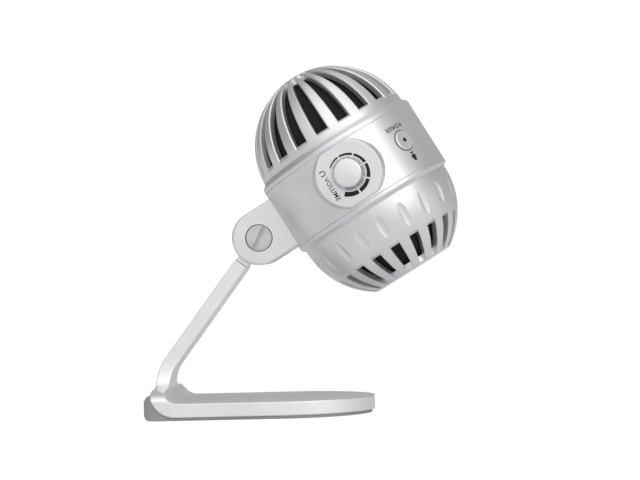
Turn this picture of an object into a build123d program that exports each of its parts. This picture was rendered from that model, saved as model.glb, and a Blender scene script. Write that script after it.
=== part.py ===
from build123d import *
from math import asin, atan2, cos, degrees, radians, sin, sqrt
import os

# Desktop microphone on a bent-plate tilt stand.  Millimetres, +Z up, +X to the front (the side the
# head leans out over), origin at the centre of the base pad's underside.

# ---- driving dimensions -------------------------------------------------------------------------
# stand
plate_t = 5.6          # thickness of the bent plate
pad_t = 1.4            # rubber under the base
base_w = 60.0          # width of the base
base_front = 47.5      # front tip of the base
nose_len = 35.0        # length of the elliptical nose
arm_w = 18.0           # width of the arm
rear_x = -42.8         # back of the bend, which is upright there
bend_r, bend_in = 10.5, 5.8     # outside and inside radius of the bend from the base to upright
lean_r = 20.0          # outside radius of the bend from upright to the arm
arm_angle = 52.8       # slope of the arm
wing_z = 12.2          # top of the upturned rear corners
corner_y, corner_z = 12.0, 4.4  # rounding of those corners
flare_y, flare_z = 8.8, 12.5    # flare of the arm's root between them
tongue_w = 8.6         # narrow end of the arm, between the cheeks
shoulder = 13.2        # from the pivot to the square end of the wide arm
knuckle_r = 6.2
bush_r, bush_bore = 4.1, 3.05

# head, along its own axis: t is the height above the middle of the band
head_at = (41.6, 98.4)  # X, Z of the middle of the band
lean = 30.7             # the dome leans back by this angle
band_r, band_in = 35.5, 32.2
band_lo, band_hi = -13.3, 12.8
trim_hi, trim_lo = 16.7, -16.5
dome_r, bowl_r, shell_t = 33.7, 33.9, 2.6
dome_c, bowl_c = 14.8, -17.2
flat_t = -46.1          # the bowl's flat end
edge_cut = 0.4          # bevel round the dome's slots
slots = 20              # slots round the dome, slots and scoops round the bowl
pivot_u, pivot_t = -47.0, -0.9   # tilt axis seen from the head
cheek_r, cheek_in, cheek_out = 11.3, 4.8, 8.6

# controls
dial_y, dial_r, dial_half = 36.3, 13.6, 12.3
knob_top, knob_r, knob_skirt = 43.0, 5.4, 6.9
button_angle, button_r, button_gap = 46.5, 4.3, 0.32
port_angle_usb, port_angle_jack = 118.0, 82.0   # on the far side, from the front

lean_x, lean_z = cos(radians(lean)), sin(radians(lean))
pivot = (head_at[0] + pivot_u * lean_x - pivot_t * lean_z,      # X, Z of the tilt axis
         head_at[1] + pivot_u * lean_z + pivot_t * lean_x)

os.makedirs("parts", exist_ok=True)

# ---- head frame: X to the front, Y across, Z along the head's axis --------------------------------
head_place = Location(Plane(origin=(head_at[0], 0, head_at[1]), x_dir=(lean_x, 0, lean_z),
                            z_dir=(-lean_z, 0, lean_x)))
front_view = Plane(origin=(0, 0, 0), x_dir=(1, 0, 0), z_dir=(0, -1, 0))


def save(part, name, place=Location()):
    """Puts a finished piece where it belongs and writes it."""
    part = place * part
    part.label = name
    export_step(part, f"parts/{name}.step")


def round_plane(angle, radius, t=0.0):
    """Plane on the band's wall, its normal pointing out, at an angle from +X towards +Y."""
    a = radians(angle)
    return Plane(origin=(radius * cos(a), radius * sin(a), t), x_dir=(-sin(a), cos(a), 0),
                 z_dir=(cos(a), sin(a), 0))


# ---- stand ----------------------------------------------------------------------------------------
base_lo, base_hi = pad_t, pad_t + plate_t
along = (cos(radians(arm_angle)), sin(radians(arm_angle)))
across = (-along[1], along[0])


def on_bend(turned):
    """Point of the lower bend's outside in the XZ plane, turned back from the base by an angle."""
    return (rear_x + bend_r - bend_r * sin(radians(turned)), base_lo + bend_r - bend_r * cos(radians(turned)))


def on_arm(back, off):
    """Point beside the arm's centre line, a distance back from the pivot."""
    return (pivot[0] - back * along[0] + off * across[0], pivot[1] - back * along[1] + off * across[1])


def arm_meets(x, off):
    """Point where a face of the arm, carried on downwards, meets the upright plane at x."""
    return on_arm((pivot[0] + off * across[0] - x) / along[0], off)


with BuildPart() as stand_frame:
    with BuildSketch(front_view):
        with BuildLine():
            Polyline((base_front, base_lo), (rear_x, base_lo), arm_meets(rear_x, plate_t / 2),
                     on_arm(shoulder, plate_t / 2), on_arm(shoulder, -plate_t / 2),
                     arm_meets(rear_x + plate_t, -plate_t / 2), (rear_x + plate_t, base_hi),
                     (base_front, base_hi), close=True)
        make_face()
        for x, lower, upper in ((rear_x, bend_r, lean_r), (rear_x + plate_t, bend_in, lean_r - plate_t)):
            fillet(vertices().filter_by(lambda v: abs(v.X - x) < 0.01).sort_by(Axis.Y)[0], lower)
            fillet(vertices().filter_by(lambda v: abs(v.X - x) < 0.01).sort_by(Axis.Y)[-1], upper)
    extrude(amount=base_w / 2, both=True)
    # plan of the base: elliptical nose, rounded rear corners
    with BuildSketch(Plane.XY):
        with Locations((base_front - nose_len, 0)):
            Ellipse(nose_len, base_w / 2)
        with Locations(((base_front - nose_len - 50) / 2, 0)):
            Rectangle(base_front - nose_len + 50, base_w)
    extrude(amount=100, mode=Mode.INTERSECT)
    # above the base only the arm is left, flaring at its root between the upturned rear corners
    with BuildSketch(Plane.YZ.offset(-60)):
        with BuildLine():
            Line((arm_w / 2, 120), (arm_w / 2, wing_z + flare_z))
            Bezier((arm_w / 2, wing_z + flare_z), (arm_w / 2, wing_z + 1.5), (arm_w / 2 + 2, wing_z),
                   (arm_w / 2 + flare_y, wing_z))
            Line((arm_w / 2 + flare_y, wing_z), (base_w / 2 - corner_y, wing_z))
            EllipticalCenterArc((base_w / 2 - corner_y, wing_z - corner_z), corner_y, corner_z,
                                start_angle=0, arc_size=90)
            Line((base_w / 2, wing_z - corner_z), (base_w / 2 + 1, wing_z - corner_z))
            Line((base_w / 2 + 1, wing_z - corner_z), (base_w / 2 + 1, 120))
            Line((base_w / 2 + 1, 120), (arm_w / 2, 120))
        make_face()
        mirror(about=Plane.YZ)
    extrude(amount=120, mode=Mode.SUBTRACT)
    with BuildSketch(front_view):
        with Locations(on_arm(shoulder / 2 + 1, 0)):
            Rectangle(shoulder + 2, plate_t, rotation=arm_angle)
        with Locations(pivot):
            Circle(knuckle_r)
    extrude(amount=tongue_w / 2, both=True)
    with BuildSketch(front_view):
        with Locations(pivot):
            Circle(bush_r)
    extrude(amount=tongue_w, both=True, mode=Mode.SUBTRACT)
save(stand_frame.part, "stand_frame")

heel_top, heel_back = on_bend(82), -46.3
with BuildPart() as base_pad:
    with BuildSketch(Plane.XY):
        with Locations((base_front - nose_len, 0)):
            Ellipse(nose_len - 1.2, base_w / 2 - 1)
        with Locations(((base_front - nose_len + heel_back) / 2, 0)):
            RectangleRounded(base_front - nose_len - heel_back, base_w - 2.4, 7)
    extrude(amount=10)
    # the pad is a thin sheet in front; its heel fills the space under the bend
    with BuildSketch(front_view):
        with BuildLine():
            Line((base_front, 0), (base_front, base_lo))
            Line((base_front, base_lo), on_bend(0))
            ThreePointArc(on_bend(0), on_bend(41), heel_top)
            Line(heel_top, (heel_back + 2, heel_top[1] - 0.5))
            Line((heel_back + 2, heel_top[1] - 0.5), (heel_back, heel_top[1] - 3))
            Line((heel_back, heel_top[1] - 3), (heel_back, 0))
            Line((heel_back, 0), (base_front, 0))
        make_face()
        fillet(vertices().filter_by(lambda v: v.X < heel_back + 2.1 and v.Y > 1), 2)
        fillet(vertices().filter_by(lambda v: v.X < heel_back + 2.1 and v.Y < 1), 3)
    extrude(amount=base_w, both=True, mode=Mode.INTERSECT)
save(base_pad.part, "base_pad")

with BuildPart() as hinge_bush:
    with BuildSketch(front_view):
        with Locations(pivot):
            Circle(bush_r)
            Circle(bush_bore, mode=Mode.SUBTRACT)
    extrude(amount=tongue_w / 2, both=True)
save(hinge_bush.part, "hinge_bush")

# ---- hinge, in the head's frame --------------------------------------------------------------------
bracket_root = -39.9
head_r = 5.5           # head of the tilt screw
with BuildPart() as hinge_bracket:
    with BuildSketch(front_view):
        with Locations((pivot_u, pivot_t)):
            Circle(cheek_r)
        with Locations(((pivot_u - 33) / 2, pivot_t)):
            Rectangle(-33 - pivot_u, 2 * cheek_r)
    extrude(amount=cheek_out, both=True)
    # the fork's slot
    with BuildSketch(front_view):
        with Locations((bracket_root - 15, 0)):
            Rectangle(30, 40)
    extrude(amount=cheek_in, both=True, mode=Mode.SUBTRACT)
    # seat on the band
    with BuildSketch(Plane.XY.offset(-15)):
        Circle(band_r)
    extrude(amount=30, mode=Mode.SUBTRACT)
    rims = edges().filter_by(lambda e: abs(abs(e.center().Y) - cheek_out) < 0.01 and e.center().X < -36)
    fillet(rims, 0.8)
    # tilt axis: recess for the screw's head, bore, recess for the nut
    for depth, radius, start in ((2.2, head_r + 0.22, -cheek_out), (2 * cheek_out, 3.05, -cheek_out),
                                 (3.4, 5.1, cheek_out - 3.4)):
        with BuildSketch(Plane(origin=(pivot_u, start, pivot_t), x_dir=(1, 0, 0), z_dir=(0, 1, 0))):
            Circle(radius)
        extrude(amount=depth, mode=Mode.SUBTRACT)
    # threaded holes for the two bracket screws
    with BuildSketch(Plane.YZ.offset(-35)):
        with Locations((0, 5), (0, -7)):
            Circle(1.25)
    extrude(amount=-4.8, mode=Mode.SUBTRACT)
save(hinge_bracket.part, "hinge_bracket", head_place)


def tilt_plane(y):
    """Plane across the tilt axis, normal away from the knob side."""
    return Plane(origin=(pivot_u, y, pivot_t), x_dir=(1, 0, 0), z_dir=(0, 1, 0))


with BuildPart() as tilt_screw:
    with BuildSketch(tilt_plane(-cheek_out + 0.1)):
        Circle(head_r)
    extrude(amount=2.1)
    chamfer(faces().sort_by(Axis.Y)[0].edges(), 0.25)
    with BuildSketch(tilt_plane(-cheek_out + 2.2)):
        Circle(3.0)
    extrude(amount=2 * cheek_out - 3.0)
    with BuildSketch(tilt_plane(-cheek_out + 0.1)):
        Rectangle(14, 1.3, rotation=-31)
    extrude(amount=1.5, mode=Mode.SUBTRACT)
save(tilt_screw.part, "tilt_screw", head_place)

with BuildPart() as tilt_nut:
    with BuildSketch(tilt_plane(cheek_out - 3.4)):
        RegularPolygon(4.9, 6)
        Circle(3.0, mode=Mode.SUBTRACT)
    extrude(amount=2.9)
save(tilt_nut.part, "tilt_nut", head_place)

with BuildPart() as friction_washers:
    for y in (-cheek_in, cheek_in - 0.4):
        with BuildSketch(tilt_plane(y)):
            Circle(5.9)
            Circle(3.1, mode=Mode.SUBTRACT)
        extrude(amount=0.4)
save(friction_washers.part, "friction_washers", head_place)

# ---- head shell -----------------------------------------------------------------------------------
button_a = -90 + button_angle
with BuildPart() as body_band:
    with BuildSketch(Plane.XY.offset(band_lo)):
        Circle(band_r)
        Circle(band_in, mode=Mode.SUBTRACT)
    extrude(amount=band_hi - band_lo)
    chamfer(edges().filter_by(GeomType.CIRCLE).filter_by(lambda e: e.radius > band_r - 0.1), 0.2)
    with BuildSketch(Plane.XZ.offset(30)):
        Circle(3.6)
    extrude(amount=8, mode=Mode.SUBTRACT)
    with BuildSketch(round_plane(button_a, 30)):
        Circle(button_r + button_gap)
    extrude(amount=8, mode=Mode.SUBTRACT)
    with BuildSketch(round_plane(port_angle_usb, 30, -4.2)):
        SlotOverall(9.6, 3.9)
    extrude(amount=8, mode=Mode.SUBTRACT)
    with BuildSketch(round_plane(port_angle_jack, 30, -2.7)):
        Circle(3.1)
    extrude(amount=8, mode=Mode.SUBTRACT)
    with BuildSketch(Plane.YZ.offset(-30)):
        with Locations((0, 5), (0, -7)):
            Circle(1.55)
    extrude(amount=-8, mode=Mode.SUBTRACT)
save(body_band.part, "body_band", head_place)

with BuildPart() as bracket_screws:
    with BuildSketch(Plane.YZ.offset(-31.8)):
        with Locations((0, 5), (0, -7)):
            Circle(1.2)
    extrude(amount=-7.4)
    with BuildSketch(Plane.YZ.offset(-32)):
        with Locations((0, 5), (0, -7)):
            Circle(2.5)
    extrude(amount=1.6)
save(bracket_screws.part, "bracket_screws", head_place)


def trim_ring(start, end, rim):
    """Ring beside the band: a straight rim, then hollowed in to the shell's radius."""
    side = 1 if end > start else -1
    hollow = start + 1.2 * side
    with BuildPart() as ring:
        with BuildSketch(Plane.XZ):
            with BuildLine():
                Polyline((band_in, start), (band_r - 0.2, start), (band_r, start + 0.2 * side),
                         (band_r, hollow))
                Spline((band_r, hollow), (rim, end), tangents=((0, side), (-0.25, side)))
                Polyline((rim, end), (band_in, end), (band_in, start))
            make_face()
        revolve(axis=Axis.Z)
    return ring.part


save(trim_ring(band_hi, trim_hi, dome_r - 0.05), "upper_trim_ring", head_place)
save(trim_ring(band_lo, trim_lo, bowl_r - 0.05), "lower_trim_ring", head_place)


def sphere_at(radius, centre, t):
    """Radius of a sphere's circle at a height."""
    return sqrt(radius ** 2 - (t - centre) ** 2)


def wedge_plane(angle):
    """Plane through the head's axis, turned back by an angle from +X."""
    a = radians(-angle)
    return Plane(origin=(0, 0, 0), x_dir=(cos(a), sin(a), 0), z_dir=(sin(a), -cos(a), 0))


slot_in = band_in - 1.8
dome_arc, bowl_arc = 9.4, 8.8          # angular widths of the slots
with BuildPart() as dome_slot:
    with BuildSketch(wedge_plane(dome_arc / 2)):
        with BuildLine():
            Polyline((9.2, 60), (9.2, 20.4), (32.2, 20.4), (33.6, 19.4), (36, 17.4), (36, 60), close=True)
        make_face()
    revolve(axis=Axis.Z, revolution_arc=dome_arc)

top = dome_c + dome_r
dome_in = dome_r - shell_t
lip_t = dome_c + sqrt(dome_in ** 2 - slot_in ** 2)
with BuildPart() as dome_grille:
    with BuildSketch(Plane.XZ):
        with BuildLine():
            Polyline((sphere_at(dome_r, dome_c, trim_hi), trim_hi), (band_in, trim_hi), (band_in, 11.6),
                     (24, 11.6), (24, 13.8), (slot_in, 13.8), (slot_in, lip_t))
            ThreePointArc((slot_in, lip_t), (dome_in * sin(radians(40)), dome_c + dome_in * cos(radians(40))),
                          (0, top - shell_t))
            Line((0, top - shell_t), (0, top))
            ThreePointArc((0, top), (dome_r * sin(radians(45)), dome_c + dome_r * cos(radians(45))),
                          (sphere_at(dome_r, dome_c, trim_hi), trim_hi))
        make_face()
    revolve(axis=Axis.Z)
    with PolarLocations(0, slots, start_angle=-90):
        add(dome_slot.part, mode=Mode.SUBTRACT)
    # the slots' outer edges, all those on the sphere above the rim, are broken
    rims = edges().filter_by(lambda e: (e @ 0.5).Z > trim_hi + 0.2 and all(
        abs((e @ k - Vector(0, 0, dome_c)).length - dome_r) < 0.01 for k in (0, 0.5, 1)))
    chamfer(rims, edge_cut)
    with BuildSketch(Plane.XY.offset(11)):
        with PolarLocations(27.5, 3, start_angle=0):
            Circle(1.2)
    extrude(amount=4, mode=Mode.SUBTRACT)
save(dome_grille.part, "dome_grille", head_place)

bowl_top = sphere_at(bowl_r, bowl_c, trim_lo)
flat_r = sphere_at(bowl_r, bowl_c, flat_t)
with BuildPart() as bowl_slot:
    with BuildSketch(wedge_plane(bowl_arc / 2)):
        with BuildLine():
            Polyline((18.0, -45.4), (36, -45.4), (36, -31.6), (30.6, -32.8), (28.2, -34.2), (18.0, -34.2),
                     close=True)
        make_face()
    revolve(axis=Axis.Z, revolution_arc=bowl_arc)

# spindle that cuts one pointed shallow scoop, lying just outside the bowl
scoop_drop = asin((25.6 + bowl_c) / bowl_r)
scoop_at = bowl_r + 2.9
scoop_centre = (scoop_at * cos(scoop_drop), 0, bowl_c - scoop_at * sin(scoop_drop))
with BuildPart() as scoop:
    with BuildSketch(Plane(origin=scoop_centre, x_dir=(cos(scoop_drop), 0, -sin(scoop_drop)),
                           z_dir=(0, -1, 0))):
        with BuildLine():
            ThreePointArc((0, -22.8), (-3.5, 0), (0, 22.8))
            Line((0, 22.8), (0, -22.8))
        make_face()
    revolve(axis=Axis(scoop_centre, (sin(scoop_drop), 0, cos(scoop_drop))))

bowl_in = bowl_r - shell_t
lip_t = bowl_c - sqrt(bowl_in ** 2 - slot_in ** 2)
low_in = sphere_at(bowl_in, bowl_c, flat_t + shell_t)
with BuildPart() as bowl_grille:
    with BuildSketch(Plane.XZ):
        with BuildLine():
            Polyline((bowl_top, trim_lo), (band_in, trim_lo), (band_in, -11.6), (24, -11.6), (24, -13.8),
                     (slot_in, -13.8), (slot_in, lip_t))
            ThreePointArc((slot_in, lip_t), (bowl_in * sin(radians(50)), bowl_c - bowl_in * cos(radians(50))),
                          (low_in, flat_t + shell_t))
            Polyline((low_in, flat_t + shell_t), (0, flat_t + shell_t), (0, flat_t), (flat_r, flat_t))
            ThreePointArc((flat_r, flat_t), (bowl_r * sin(radians(60)), bowl_c - bowl_r * cos(radians(60))),
                          (bowl_top, trim_lo))
        make_face()
    revolve(axis=Axis.Z)
    fillet(edges().filter_by(GeomType.CIRCLE).group_by(Axis.Z)[0].sort_by(SortBy.RADIUS)[-1:], 2.4)
    with PolarLocations(0, slots, start_angle=-90):
        add(bowl_slot.part, mode=Mode.SUBTRACT)
        add(scoop.part, mode=Mode.SUBTRACT)
    with BuildSketch(Plane.XY.offset(-11)):
        with PolarLocations(27.5, 3, start_angle=60):
            Circle(1.2)
    extrude(amount=-4, mode=Mode.SUBTRACT)
save(bowl_grille.part, "bowl_grille", head_place)


# fine mesh behind each grille
mesh_r, mesh_t = 30.2, 0.5
for name, centre, side, reach in (("dome_mesh", dome_c, 1, 13.85), ("bowl_mesh", bowl_c, -1, 13.85)):
    with BuildPart() as mesh:
        with Locations((0, 0, centre)):
            Sphere(mesh_r)
            Sphere(mesh_r - mesh_t, mode=Mode.SUBTRACT)
        split(bisect_by=Plane.XY.offset(side * reach), keep=Keep.TOP if side > 0 else Keep.BOTTOM)
        if side < 0:
            split(bisect_by=Plane.XY.offset(flat_t + shell_t), keep=Keep.TOP)
    save(mesh.part, name, head_place)

# ---- dial plate, scale and marks -------------------------------------------------------------------
with BuildPart() as dial_plate:
    with BuildSketch(Plane.XZ.offset(dial_y)):
        Circle(dial_r)
    with BuildSketch(Plane.XZ.offset(dial_y - 4.2)):
        Circle(dial_r + 1.5)
    loft()
    with BuildSketch(Plane.XZ.offset(dial_y - 5)):
        Rectangle(40, 2 * dial_half)
    extrude(amount=6, mode=Mode.INTERSECT)
    with BuildSketch(Plane.XY.offset(-20)):
        Circle(band_r)
    extrude(amount=40, mode=Mode.SUBTRACT)
    with BuildSketch(Plane.XZ.offset(30)):
        Circle(3.6)
    extrude(amount=8, mode=Mode.SUBTRACT)
    chamfer(faces().sort_by(Axis.Y)[0].outer_wire().edges(), 0.3)
save(dial_plate.part, "dial_plate", head_place)



def on_dial(angle, radius):
    """Point of the dial plate, looking at it from outside."""
    return (radius * cos(radians(angle)), radius * sin(radians(angle)))


mark_t = 0.12
scale_r = 7.4
with BuildPart() as volume_scale:
    for i in range(6):
        # six arcs, each wider than the one before
        start, stop = 132.5 - 45 * i, 92.5 - 45 * i
        outer = [scale_r + 0.45 + 0.26 * (i + k) for k in (0, 0.5, 1)]
        with BuildSketch(Plane.XZ.offset(dial_y)):
            with BuildLine():
                CenterArc((0, 0), scale_r, stop, start - stop)
                Line(on_dial(start, scale_r), on_dial(start, outer[0]))
                ThreePointArc(on_dial(start, outer[0]), on_dial((start + stop) / 2, outer[1]),
                              on_dial(stop, outer[2]))
                Line(on_dial(stop, outer[2]), on_dial(stop, scale_r))
            make_face()
        extrude(amount=mark_t)
save(volume_scale.part, "volume_scale", head_place)

# two ear cups joined by a bow
with BuildPart() as headphone_mark:
    with BuildSketch(Plane.XZ.offset(dial_y)):
        with Locations((-8.9, 5.4)):
            Circle(1.15)
            Circle(0.8, mode=Mode.SUBTRACT)
        with Locations((-9.75, 5.4)):
            Rectangle(1.1, 1.3, mode=Mode.SUBTRACT)
        with Locations((-9.65, 6.25), (-9.65, 4.55)):
            RectangleRounded(0.75, 0.5, 0.2)
    extrude(amount=mark_t)
save(headphone_mark.part, "headphone_mark", head_place)

# a capsule in a cradle on a stand, its foot towards the button
with BuildPart() as microphone_mark:
    with BuildSketch(round_plane(button_a, band_r - 0.2)):
        with Locations((0, -8.3)):
            SlotOverall(2.5, 1.3, rotation=90)
        with Locations((0, -7.9)):
            Circle(1.25)
            Circle(0.9, mode=Mode.SUBTRACT)
            with Locations((0, -0.95)):
                Rectangle(2.6, 1.3, mode=Mode.SUBTRACT)
            with Locations((0, -0.4)):
                SlotOverall(2.5, 1.3, rotation=90)
        with Locations((0, -6.3)):
            Rectangle(0.4, 1.0)
        with Locations((0, -5.75)):
            Rectangle(1.8, 0.4)
    extrude(amount=0.4)
    Cylinder(band_r + mark_t, 40, mode=Mode.INTERSECT)
    Cylinder(band_r, 40, mode=Mode.SUBTRACT)
save(microphone_mark.part, "microphone_mark", head_place)

# ---- volume knob and pot ---------------------------------------------------------------------------
knob_foot = dial_y + 0.35
dial_place = head_place * Location(Plane.XZ)     # Z out of the dial
slope = (knob_skirt - knob_r - 0.5) / (knob_top - 1.2 - knob_foot)
with BuildPart() as flute:
    with Locations(Location((knob_skirt + 0.1, 0, knob_foot), (0, -degrees(atan2(slope, 1)), 0))):
        Cylinder(0.34, 24)

with BuildPart() as volume_knob:
    with BuildSketch(Plane.XZ):
        with BuildLine():
            Polyline((0, knob_top), (0, knob_foot), (knob_skirt, knob_foot), (knob_skirt, knob_foot + 0.5),
                     (knob_r + 0.5, knob_top - 1.2))
            ThreePointArc((knob_r + 0.5, knob_top - 1.2), (knob_r + 0.25, knob_top - 0.55),
                          (knob_r - 0.3, knob_top - 0.25))
            ThreePointArc((knob_r - 0.3, knob_top - 0.25), (2.6, knob_top - 0.06), (0, knob_top))
        make_face()
    revolve(axis=Axis.Z)
    # flutes round the sloping skirt
    with PolarLocations(0, 36):
        add(flute.part, mode=Mode.SUBTRACT)
    with BuildSketch(Plane.XY.offset(knob_foot)):
        Circle(1.5)
    extrude(amount=4.5, mode=Mode.SUBTRACT)
    # small pointer dimple in the top
    with Locations((-3.6, 1.2, knob_top + 0.15)):
        Sphere(0.6, mode=Mode.SUBTRACT)
save(volume_knob.part, "volume_knob", dial_place)

with BuildPart() as pot_shaft:
    with BuildSketch(Plane.XZ.offset(24.0)):
        Circle(1.5)
    extrude(amount=knob_foot + 4.5 - 24.0)
    with BuildSketch(Plane.XZ.offset(24.0)):
        Circle(2.4)
    extrude(amount=1.4)
save(pot_shaft.part, "pot_shaft", head_place)

with BuildPart() as volume_pot:
    with BuildSketch(Plane.XZ.offset(22.6)):
        Rectangle(9.8, 11.0)
    extrude(amount=4.6)
    with BuildSketch(Plane.XZ.offset(25.0)):
        Circle(3.4)
    extrude(amount=9.4)
    for start, radius, depth in ((23.8, 2.5, 1.8), (25.6, 1.55, 10)):
        with BuildSketch(Plane.XZ.offset(start)):
            Circle(radius)
        extrude(amount=depth, mode=Mode.SUBTRACT)
save(volume_pot.part, "volume_pot", head_place)

# ---- mute button -----------------------------------------------------------------------------------
dot_r = 0.9
with BuildPart() as mute_button:
    with BuildSketch(round_plane(button_a, 32.6)):
        Circle(button_r)
    extrude(amount=band_r + 0.55 - 32.6)
    out_of_button = Axis((0, 0, 0), (cos(radians(button_a)), sin(radians(button_a)), 0))
    fillet(faces().sort_by(out_of_button)[-1].edges(), 0.6)
    with BuildSketch(round_plane(button_a, 28.2)):
        Circle(1.6)
    extrude(amount=4.5)
    with BuildSketch(round_plane(button_a, 27)):
        Circle(dot_r)
    extrude(amount=10, mode=Mode.SUBTRACT)
save(mute_button.part, "mute_button", head_place)

with BuildPart() as button_window:
    with BuildSketch(round_plane(button_a, 30.0)):
        Circle(dot_r)
    extrude(amount=band_r + 0.6 - 30.0)
save(button_window.part, "button_window", head_place)

with BuildPart() as mute_switch:
    with BuildSketch(round_plane(button_a, 22.6)):
        Rectangle(6.2, 11.6)
    extrude(amount=4.0)
    with BuildSketch(round_plane(button_a, 26.6)):
        Circle(1.7)
    extrude(amount=0.7)
save(mute_switch.part, "mute_switch", head_place)

# ---- circuit board and what stands on it --------------------------------------------------------------
board_t, board_top = 1.6, -6.0
post_at = [(19 * cos(radians(a)), 19 * sin(radians(a))) for a in (45, 135, 225, 315)]
with BuildPart() as main_board:
    with BuildSketch(Plane.XY.offset(board_top - board_t)):
        Circle(29)
        with Locations(*post_at):
            Circle(1.3, mode=Mode.SUBTRACT)
    extrude(amount=board_t)
save(main_board.part, "main_board", head_place)

with BuildPart() as chassis_plate:
    with BuildSketch(Plane.XY.offset(-11.6)):
        Circle(band_in)
        with PolarLocations(20, 4):
            Circle(5, mode=Mode.SUBTRACT)
        with PolarLocations(27.5, 3, start_angle=60):
            Circle(1.3, mode=Mode.SUBTRACT)
    extrude(amount=1.6)
    with BuildSketch(Plane.XY.offset(-10.0)):
        with Locations(*post_at):
            Circle(2.6)
    extrude(amount=board_top - board_t + 10.0)
    with BuildSketch(Plane.XY.offset(-11.6)):
        with Locations(*post_at):
            Circle(0.9)
    extrude(amount=6, mode=Mode.SUBTRACT)
save(chassis_plate.part, "chassis_plate", head_place)

with BuildPart() as board_screws:
    with BuildSketch(Plane.XY.offset(board_top)):
        with Locations(*post_at):
            Circle(2.0)
    extrude(amount=1.3)
    with BuildSketch(Plane.XY.offset(board_top)):
        with Locations(*post_at):
            Circle(0.85)
    extrude(amount=-5)
save(board_screws.part, "board_screws", head_place)

with BuildPart() as board_chips:
    for x, y, w, d, h in ((0, 7.2, 9, 9, 1.0), (10, 8, 5, 4, 1.2), (-9, -6, 6, 5, 1.4), (8, -9, 3.2, 2.5, 2.0),
                          (-2, 15, 7, 3, 1.6)):
        with BuildSketch(Plane.XY.offset(board_top)):
            with Locations((x, y)):
                Rectangle(w, d)
        extrude(amount=h)
save(board_chips.part, "board_chips", head_place)

with BuildPart() as status_light:
    with BuildSketch(round_plane(button_a, 21.0)):
        with Locations((0, 7.4)):
            Circle(1.4)
    extrude(amount=4)
save(status_light.part, "status_light", head_place)

with BuildPart() as usb_socket:
    with BuildSketch(round_plane(port_angle_usb, 27.0, -4.2)):
        SlotOverall(9.0, 3.3)
    extrude(amount=7.8)
    with BuildSketch(round_plane(port_angle_usb, 28.4, -4.2)):
        SlotOverall(8.4, 2.7)
    extrude(amount=8, mode=Mode.SUBTRACT)
    with BuildSketch(round_plane(port_angle_usb, 28.4, -4.2)):
        Rectangle(6.7, 0.7)
    extrude(amount=5.4)
save(usb_socket.part, "usb_socket", head_place)

with BuildPart() as headphone_socket:
    with BuildSketch(round_plane(port_angle_jack, 20.6, -2.7)):
        Rectangle(6.6, 6.6)
    extrude(amount=11.0)
    with BuildSketch(round_plane(port_angle_jack, 31.6, -2.7)):
        Circle(3.0)
    extrude(amount=3.7)
    with BuildSketch(round_plane(port_angle_jack, 22.0, -2.7)):
        Circle(1.8)
    extrude(amount=16, mode=Mode.SUBTRACT)
save(headphone_socket.part, "headphone_socket", head_place)

# ---- capsule -----------------------------------------------------------------------------------------
with BuildPart() as capsule_bridge:
    with BuildSketch(Plane.XY.offset(9.8)):
        Circle(band_in)
        with PolarLocations(20.5, 6, start_angle=30):
            Circle(5.2, mode=Mode.SUBTRACT)
        with PolarLocations(27.5, 3, start_angle=0):
            Circle(1.3, mode=Mode.SUBTRACT)
        Circle(3.2, mode=Mode.SUBTRACT)
    extrude(amount=1.8)
save(capsule_bridge.part, "capsule_bridge", head_place)

with BuildPart() as dome_screws:
    for r, depth, start in ((2.2, -1.3, 9.8), (1.2, 3.6, 9.8)):
        with BuildSketch(Plane.XY.offset(start)):
            with PolarLocations(27.5, 3, start_angle=0):
                Circle(r)
        extrude(amount=depth)
save(dome_screws.part, "dome_screws", head_place)

with BuildPart() as bowl_screws:
    for r, depth, start in ((2.0, 1.3, -10.0), (1.2, -3.6, -10.0)):
        with BuildSketch(Plane.XY.offset(start)):
            with PolarLocations(27.5, 3, start_angle=60):
                Circle(r)
        extrude(amount=depth)
save(bowl_screws.part, "bowl_screws", head_place)

with BuildPart() as capsule_mount:
    with BuildSketch(Plane.XY.offset(11.6)):
        Circle(13.5)
        Circle(3.2, mode=Mode.SUBTRACT)
    extrude(amount=7)
    with BuildSketch(Plane.XY.offset(14.0)):
        Circle(11.0)
    extrude(amount=6, mode=Mode.SUBTRACT)
save(capsule_mount.part, "capsule_mount", head_place)

with BuildPart() as capsule_housing:
    with BuildSketch(Plane.XY.offset(14.0)):
        Circle(11.0)
        Circle(3.2, mode=Mode.SUBTRACT)
    extrude(amount=9)
    with BuildSketch(Plane.XY.offset(15.2)):
        Circle(9.8)
    extrude(amount=8, mode=Mode.SUBTRACT)
save(capsule_housing.part, "capsule_housing", head_place)

with BuildPart() as capsule_backplate:
    with BuildSketch(Plane.XY.offset(18.4)):
        Circle(9.8)
        with PolarLocations(6, 8):
            Circle(0.8, mode=Mode.SUBTRACT)
    extrude(amount=2.0)
save(capsule_backplate.part, "capsule_backplate", head_place)

with BuildPart() as capsule_diaphragm:
    with BuildSketch(Plane.XY.offset(20.8)):
        Circle(9.8)
    extrude(amount=0.3)
save(capsule_diaphragm.part, "capsule_diaphragm", head_place)

with BuildPart() as capsule_leads:
    with BuildSketch(Plane.XY.offset(board_top)):
        with Locations((-1.4, 0), (1.4, 0)):
            Circle(0.55)
    extrude(amount=18.4 - board_top)
save(capsule_leads.part, "capsule_leads", head_place)
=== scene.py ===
import bpy
import math
from mathutils import Matrix, Vector


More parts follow.
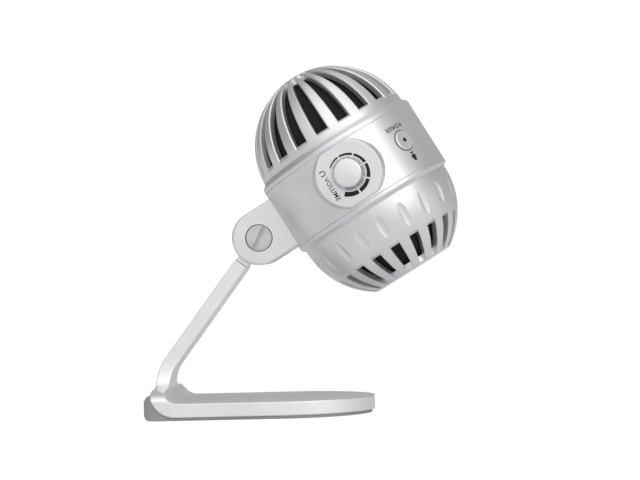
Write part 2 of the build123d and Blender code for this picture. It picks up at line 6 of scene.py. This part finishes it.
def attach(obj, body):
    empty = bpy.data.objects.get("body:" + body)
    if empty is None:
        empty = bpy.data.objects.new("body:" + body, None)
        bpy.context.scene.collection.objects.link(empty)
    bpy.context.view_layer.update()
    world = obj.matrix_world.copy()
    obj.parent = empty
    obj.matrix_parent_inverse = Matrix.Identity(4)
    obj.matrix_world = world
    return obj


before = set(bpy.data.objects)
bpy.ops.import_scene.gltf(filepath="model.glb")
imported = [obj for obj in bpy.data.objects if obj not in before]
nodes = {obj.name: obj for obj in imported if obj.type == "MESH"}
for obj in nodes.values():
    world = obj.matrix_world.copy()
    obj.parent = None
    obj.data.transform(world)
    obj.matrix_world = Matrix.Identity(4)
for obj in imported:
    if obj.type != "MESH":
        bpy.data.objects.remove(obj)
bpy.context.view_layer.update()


# ---- node materials ---------------------------------------------------------------------------------
patch_scale = 45        # broad patches of slightly different colour in every finish
rough_spread = 0.05     # how far the roughness strays to both sides
bevel_samples = 6


def new_material(name):
    """New material, with its nodes, its links and its shader."""
    mat = bpy.data.materials.new(name)
    mat.use_nodes = True
    return mat, mat.node_tree.nodes, mat.node_tree.links, mat.node_tree.nodes["Principled BSDF"]


def noise(tree_nodes, links, coords, scale, detail=4.0, stretch=(1, 1, 1)):
    """Noise from 0 to 1, finer with scale and drawn out along the axes by stretch."""
    mapping = tree_nodes.new("ShaderNodeMapping")
    mapping.inputs["Scale"].default_value = stretch
    tex = tree_nodes.new("ShaderNodeTexNoise")
    tex.inputs["Scale"].default_value = scale
    tex.inputs["Detail"].default_value = detail
    links.new(coords, mapping.inputs["Vector"])
    links.new(mapping.outputs["Vector"], tex.inputs["Vector"])
    return tex.outputs["Fac"]


def ramp(tree_nodes, links, value, low, high, start=0.35, stop=0.65):
    """Colour that goes from low to high as a value goes from start to stop."""
    node = tree_nodes.new("ShaderNodeValToRGB")
    node.color_ramp.elements[0].position = start
    node.color_ramp.elements[0].color = (*low, 1)
    node.color_ramp.elements[1].position = stop
    node.color_ramp.elements[1].color = (*high, 1)
    links.new(value, node.inputs["Fac"])
    return node.outputs["Color"]


def spread(tree_nodes, links, value, low, high):
    """Number that goes from low to high as a value goes from 0 to 1."""
    node = tree_nodes.new("ShaderNodeMapRange")
    node.inputs["To Min"].default_value = low
    node.inputs["To Max"].default_value = high
    links.new(value, node.inputs["Value"])
    return node.outputs["Result"]


def surface(name, color, metallic, rough, grain=900, bump=0.05, vary=0.06, stretch=(1, 1, 1),
            distance=0.00004, edge=0.0):
    """Finish with a fine grain in its roughness and relief and broad patches in its colour.

    distance is the height of the relief and edge the rounding that the corners seem to have, in metres.
    """
    mat, tn, links, bsdf = new_material(name)
    coords = tn.new("ShaderNodeTexCoord").outputs["Object"]
    fine = noise(tn, links, coords, grain, 3.0, stretch)
    broad = noise(tn, links, coords, patch_scale, 3.0)
    low = tuple(max(0.0, c * (1 - vary)) for c in color)
    high = tuple(min(1.0, c * (1 + vary * 0.5)) for c in color)
    links.new(ramp(tn, links, broad, low, high), bsdf.inputs["Base Color"])
    links.new(spread(tn, links, fine, rough - rough_spread, rough + rough_spread), bsdf.inputs["Roughness"])
    relief = tn.new("ShaderNodeBump")
    relief.inputs["Strength"].default_value = bump
    relief.inputs["Distance"].default_value = distance
    links.new(fine, relief.inputs["Height"])
    if edge:
        soft = tn.new("ShaderNodeBevel")
        soft.samples = bevel_samples
        soft.inputs["Radius"].default_value = edge
        links.new(soft.outputs["Normal"], relief.inputs["Normal"])
    links.new(relief.outputs["Normal"], bsdf.inputs["Normal"])
    bsdf.inputs["Metallic"].default_value = metallic
    return mat


satin = surface("satin_silver", (0.80, 0.80, 0.81), 0.85, 0.36, grain=2500, bump=0.08, edge=0.0003)
stand = surface("satin_stand", (0.90, 0.90, 0.905), 0.80, 0.36, grain=2500, bump=0.08, edge=0.0008)
knob = surface("knob_silver", (0.84, 0.84, 0.85), 0.85, 0.32, grain=3500, bump=0.15, vary=0.08, edge=0.00015)
screw = surface("screw_steel", (0.62, 0.62, 0.63), 0.95, 0.32, grain=1500, bump=0.1)
turned = surface("turned_steel", (0.60, 0.60, 0.61), 1.0, 0.34, grain=2200, bump=0.12, vary=0.12, edge=0.0002)
turned_shader = turned.node_tree.nodes["Principled BSDF"]
turned_shader.inputs["Anisotropic"].default_value = 0.85
round_axis = turned.node_tree.nodes.new("ShaderNodeTangent")
round_axis.direction_type = "RADIAL"
round_axis.axis = "Y"
turned.node_tree.links.new(round_axis.outputs["Tangent"], turned_shader.inputs["Tangent"])
rubber = surface("grey_rubber", (0.36, 0.36, 0.365), 0.0, 0.75, grain=1800, bump=0.4, distance=0.0001,
                 edge=0.0004)
black_rubber = surface("black_rubber", (0.03, 0.03, 0.03), 0.0, 0.8, grain=1800, bump=0.4)
ink = surface("black_ink", (0.006, 0.006, 0.006), 0.0, 0.7, grain=3000, bump=0.1, vary=0.2)
mesh_black = surface("mesh_black", (0.006, 0.006, 0.006), 0.0, 0.85, grain=3800, bump=0.9, vary=0.3,
                     distance=0.0002)
plastic = surface("black_plastic", (0.03, 0.03, 0.032), 0.0, 0.5, grain=2000, bump=0.2)
bronze = surface("bronze", (0.5, 0.36, 0.18), 0.9, 0.35, stretch=(1, 8, 1))
brass = surface("capsule_brass", (0.72, 0.55, 0.28), 0.95, 0.3)
gold = surface("gold_film", (0.9, 0.68, 0.3), 1.0, 0.2)
board = surface("board_green", (0.02, 0.12, 0.06), 0.0, 0.35, grain=400, bump=0.2, vary=0.3)
light = surface("light_red", (0.6, 0.05, 0.04), 0.0, 0.2)
window = surface("window_black", (0.015, 0.015, 0.015), 0.0, 0.2, grain=2500)
lead = surface("lead_red", (0.4, 0.05, 0.04), 0.0, 0.5)
fibre = surface("fibre", (0.12, 0.09, 0.07), 0.0, 0.8, grain=900, bump=0.5)
port = surface("port_steel", (0.55, 0.55, 0.57), 0.95, 0.3)

finishes = {
    satin: ["body_band", "upper_trim_ring", "lower_trim_ring", "dome_grille", "bowl_grille", "dial_plate",
            "hinge_bracket"],
    stand: ["stand_frame"],
    knob: ["volume_knob", "mute_button"],
    turned: ["tilt_screw"],
    screw: ["tilt_nut", "bracket_screws", "pot_shaft", "board_screws", "dome_screws", "bowl_screws"],
    rubber: ["base_pad"],
    black_rubber: ["capsule_mount"],
    ink: ["volume_scale", "headphone_mark", "microphone_mark"],
    mesh_black: ["dome_mesh", "bowl_mesh"],
    plastic: ["mute_switch", "chassis_plate", "board_chips", "headphone_socket", "capsule_bridge"],
    bronze: ["hinge_bush"],
    brass: ["capsule_housing", "capsule_backplate"],
    gold: ["capsule_diaphragm"],
    board: ["main_board"],
    light: ["status_light"],
    window: ["button_window"],
    lead: ["capsule_leads"],
    fibre: ["friction_washers"],
    port: ["usb_socket", "volume_pot"],
}
for mat, names in finishes.items():
    for name in names:
        for slot in nodes[name].material_slots:
            slot.material = mat

# ---- labels of the controls -------------------------------------------------------------------------
# in mm, as in the CAD
head_x, head_z = 41.6, 98.4
lean = math.radians(30.7)
plate_y = -36.3         # face of the dial plate
band_r = 35.5
printed_in, printed_out = -0.02, 0.03   # the ink starts just under the metal and ends just above it
letter_height = 1.9
volume_at, volume_width = (-8.8, -1.9), 10.4    # u and t of the word's middle
power_angle, power_t, power_width = math.radians(-45.3), 6.6, 9.6


def on_head(u, y, t):
    """Point of the row frame, from the head's own directions: u to the front, t along its axis, in mm."""
    x = head_x + u * math.cos(lean) - t * math.sin(lean)
    z = head_z + u * math.sin(lean) + t * math.cos(lean)
    return Vector((x, y, z)) / 1000


def label(name, words, width, height, at):
    """Printed word, stretched to a size in mm and laid on the head.

    at gives the point of the head for x and y from the word's middle and for a height above the metal.
    """
    curve = bpy.data.curves.new(name, "FONT")
    curve.body = words
    curve.extrude = 0.01
    curve.offset = 0.012
    curve.space_character = 1.08
    written = bpy.data.objects.new(name + "_curve", curve)
    bpy.context.scene.collection.objects.link(written)
    bpy.context.view_layer.update()
    mesh = bpy.data.meshes.new_from_object(written.evaluated_get(bpy.context.evaluated_depsgraph_get()))
    bpy.data.objects.remove(written)
    xs, ys = [v.co.x for v in mesh.vertices], [v.co.y for v in mesh.vertices]
    for v in mesh.vertices:
        x = ((v.co.x - min(xs)) / (max(xs) - min(xs)) - 0.5) * width
        y = ((v.co.y - min(ys)) / (max(ys) - min(ys)) - 0.5) * height
        v.co = at(x, y, printed_out if v.co.z > 0 else printed_in)
    obj = bpy.data.objects.new(name, mesh)
    bpy.context.scene.collection.objects.link(obj)
    mesh.materials.append(ink)
    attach(obj, "head")


def on_plate(x, y, up):
    """Runs down the dial plate."""
    return on_head(volume_at[0] + y, plate_y - up, volume_at[1] - x)


def on_band(x, y, up):
    """Runs round the band, with its letters upside down."""
    angle = power_angle - x / band_r
    return on_head((band_r + up) * math.cos(angle), (band_r + up) * math.sin(angle), power_t - y)


label("volume_label", "VOLUME", volume_width, letter_height, on_plate)
label("power_label", "POWER", power_width, letter_height, on_band)

# ---- floor, camera and light ------------------------------------------------------------------------
seen_white = 1.05       # strength of the floor and the room where they are seen

# pale floor: plain white where it is seen, and matt towards the object
bpy.ops.mesh.primitive_circle_add(vertices=128, radius=6, fill_type="NGON", location=(0, 0, 0))
floor = bpy.context.object
floor.name = "floor"
mat, tn, links, bsdf = new_material("floor_pale")
mottle = noise(tn, links, tn.new("ShaderNodeTexCoord").outputs["Object"], 60)
links.new(ramp(tn, links, mottle, (0.88, 0.88, 0.88), (0.92, 0.92, 0.92)), bsdf.inputs["Base Color"])
bsdf.inputs["Roughness"].default_value = 0.8
glow = tn.new("ShaderNodeEmission")
glow.inputs["Strength"].default_value = seen_white
seen = tn.new("ShaderNodeLightPath")
both = tn.new("ShaderNodeMixShader")
links.new(seen.outputs["Is Camera Ray"], both.inputs["Fac"])
links.new(bsdf.outputs["BSDF"], both.inputs[1])
links.new(glow.outputs["Emission"], both.inputs[2])
links.new(both.outputs["Shader"], tn["Material Output"].inputs["Surface"])
floor.data.materials.append(mat)

azimuth, elevation, roll = map(math.radians, (4.76, -0.11, 1.62))
target, distance = Vector((0.0264, 0, 0.0721)), 0.9
back = Vector((math.sin(azimuth) * math.cos(elevation), -math.cos(azimuth) * math.cos(elevation),
               math.sin(elevation)))
level = Vector((math.cos(azimuth), math.sin(azimuth), 0))
upright = back.cross(level)
right = math.cos(roll) * level - math.sin(roll) * upright
up = math.sin(roll) * level + math.cos(roll) * upright
cam = bpy.data.objects.new("camera", bpy.data.cameras.new("camera"))
bpy.context.scene.collection.objects.link(cam)
place = Matrix((right, up, back)).transposed().to_4x4()
place.translation = target + distance * back
cam.matrix_world = place
cam.data.lens = 121.0
cam.data.sensor_width = 36.0
cam.data.clip_start = 0.01
bpy.context.scene.camera = cam


def area_light(name, at, aim, size, power):
    """Square light at a point, turned to another."""
    data = bpy.data.lights.new(name, "AREA")
    data.shape = "RECTANGLE"
    data.size, data.size_y = size, size
    data.energy = power
    obj = bpy.data.objects.new(name, data)
    bpy.context.scene.collection.objects.link(obj)
    obj.location = at
    obj.rotation_euler = (Vector(aim) - Vector(at)).to_track_quat("-Z", "Y").to_euler()


middle = (0.02, 0, 0.08)
area_light("key", (0.62, -0.62, 0.50), middle, 0.45, 0.7)
area_light("top", (-0.05, 0.10, 0.9), middle, 0.6, 0.3)

# the room: plain white where it is seen, and round the object a soft light that is strongest from the
# front, the right and above, so that curved metal shades off to the left
world = bpy.data.worlds.new("world")
bpy.context.scene.world = world
world.use_nodes = True
tn, links = world.node_tree.nodes, world.node_tree.links


def lobe(direction, power, gain):
    """Light that falls off smoothly away from a direction."""
    toward = Vector(direction).normalized()
    dot = tn.new("ShaderNodeVectorMath")
    dot.operation = "DOT_PRODUCT"
    dot.inputs[1].default_value = toward
    links.new(around, dot.inputs[0])
    above = tn.new("ShaderNodeMath")
    above.operation = "MAXIMUM"
    above.inputs[1].default_value = 0.0
    links.new(dot.outputs["Value"], above.inputs[0])
    sharp = tn.new("ShaderNodeMath")
    sharp.operation = "POWER"
    sharp.inputs[1].default_value = power
    links.new(above.outputs["Value"], sharp.inputs[0])
    level = tn.new("ShaderNodeMath")
    level.operation = "MULTIPLY"
    level.inputs[1].default_value = gain
    links.new(sharp.outputs["Value"], level.inputs[0])
    return level.outputs["Value"]


# direction, how sharply it falls off, strength
room_light = (((0.12, -1, 0.12), 2.4, 0.62),
              ((0, -0.6, 1), 4.0, 0.95),
              ((0.75, -0.55, -0.5), 2.5, 0.62),
              ((1.0, -0.15, -0.35), 2.5, 0.30),
              ((0.25, 1, 0.3), 3.0, 0.18))
room_base = 0.26

around = tn.new("ShaderNodeTexCoord").outputs["Generated"]
total = None
for direction, power, gain in room_light:
    part = lobe(direction, power, gain)
    if total is None:
        total = part
    else:
        add = tn.new("ShaderNodeMath")
        links.new(total, add.inputs[0])
        links.new(part, add.inputs[1])
        total = add.outputs["Value"]
base = tn.new("ShaderNodeMath")
base.inputs[1].default_value = room_base
links.new(total, base.inputs[0])
tn["Background"].inputs["Color"].default_value = (1, 1, 1, 1)
links.new(base.outputs["Value"], tn["Background"].inputs["Strength"])
white = tn.new("ShaderNodeBackground")
white.inputs["Color"].default_value = (1, 1, 1, 1)
white.inputs["Strength"].default_value = seen_white
path = tn.new("ShaderNodeLightPath")
both = tn.new("ShaderNodeMixShader")
links.new(path.outputs["Is Camera Ray"], both.inputs["Fac"])
links.new(tn["Background"].outputs["Background"], both.inputs[1])
links.new(white.outputs["Background"], both.inputs[2])
links.new(both.outputs["Shader"], tn["World Output"].inputs["Surface"])
bpy.context.scene.view_settings.view_transform = "Standard"
